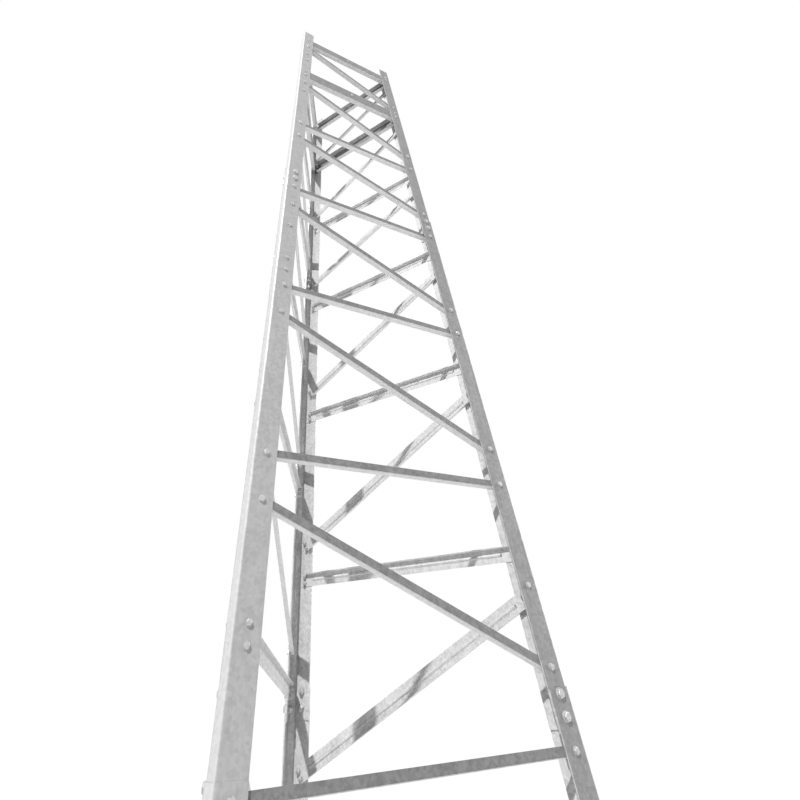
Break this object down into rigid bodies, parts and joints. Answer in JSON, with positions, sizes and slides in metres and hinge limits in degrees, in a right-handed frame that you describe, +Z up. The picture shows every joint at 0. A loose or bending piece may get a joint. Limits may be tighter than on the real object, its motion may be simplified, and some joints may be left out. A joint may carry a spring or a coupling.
{
  "type": "self-supporting radio tower",
  "caption": "Three-legged tapering lattice tower of bolted, galvanized formed steel, with staggered rungs, single braces, head channels and anchor feet.",
  "frame": {"origin": "at ground level, in the middle of the rectangle that the feet stand in", "axes": "+Z up the tower; the front face looks along -Y, with one leg at the back on +Y"},
  "size_m": [1.6262, 1.4084, 6.1689],
  "materials": {
    "leg_steel": "hot-dip galvanized steel, weathered to matt grey",
    "bar_steel": "hot-dip galvanized steel, weathered to matt grey",
    "channel_steel": "hot-dip galvanized steel, weathered to matt grey",
    "foot_steel": "hot-dip galvanized steel, weathered to matt grey"
  },
  "bodies": {
    "root": {"left_leg_lower": "leg_steel", "left_leg_middle": "leg_steel", "left_leg_upper": "leg_steel", "right_leg_lower": "leg_steel", "right_leg_middle": "leg_steel", "right_leg_upper": "leg_steel", "back_leg_lower": "leg_steel", "back_leg_middle": "leg_steel", "back_leg_upper": "leg_steel", "front_rungs_lower": "bar_steel", "front_rungs_middle": "bar_steel", "front_rungs_upper": "bar_steel", "right_rungs_lower": "bar_steel", "right_rungs_middle": "bar_steel", "right_rungs_upper": "bar_steel", "left_rungs_lower": "bar_steel", "left_rungs_middle": "bar_steel", "left_rungs_upper": "bar_steel", "front_braces_lower": "bar_steel", "front_braces_middle": "bar_steel", "front_braces_upper": "bar_steel", "right_braces_lower": "bar_steel", "right_braces_middle": "bar_steel", "right_braces_upper": "bar_steel", "left_braces_lower": "bar_steel", "left_braces_middle": "bar_steel", "left_braces_upper": "bar_steel", "front_head_channels": "channel_steel", "right_head_channels": "channel_steel", "left_head_channels": "channel_steel", "left_foot": "foot_steel", "right_foot": "foot_steel", "back_foot": "foot_steel"}
  },
  "joints": []
}
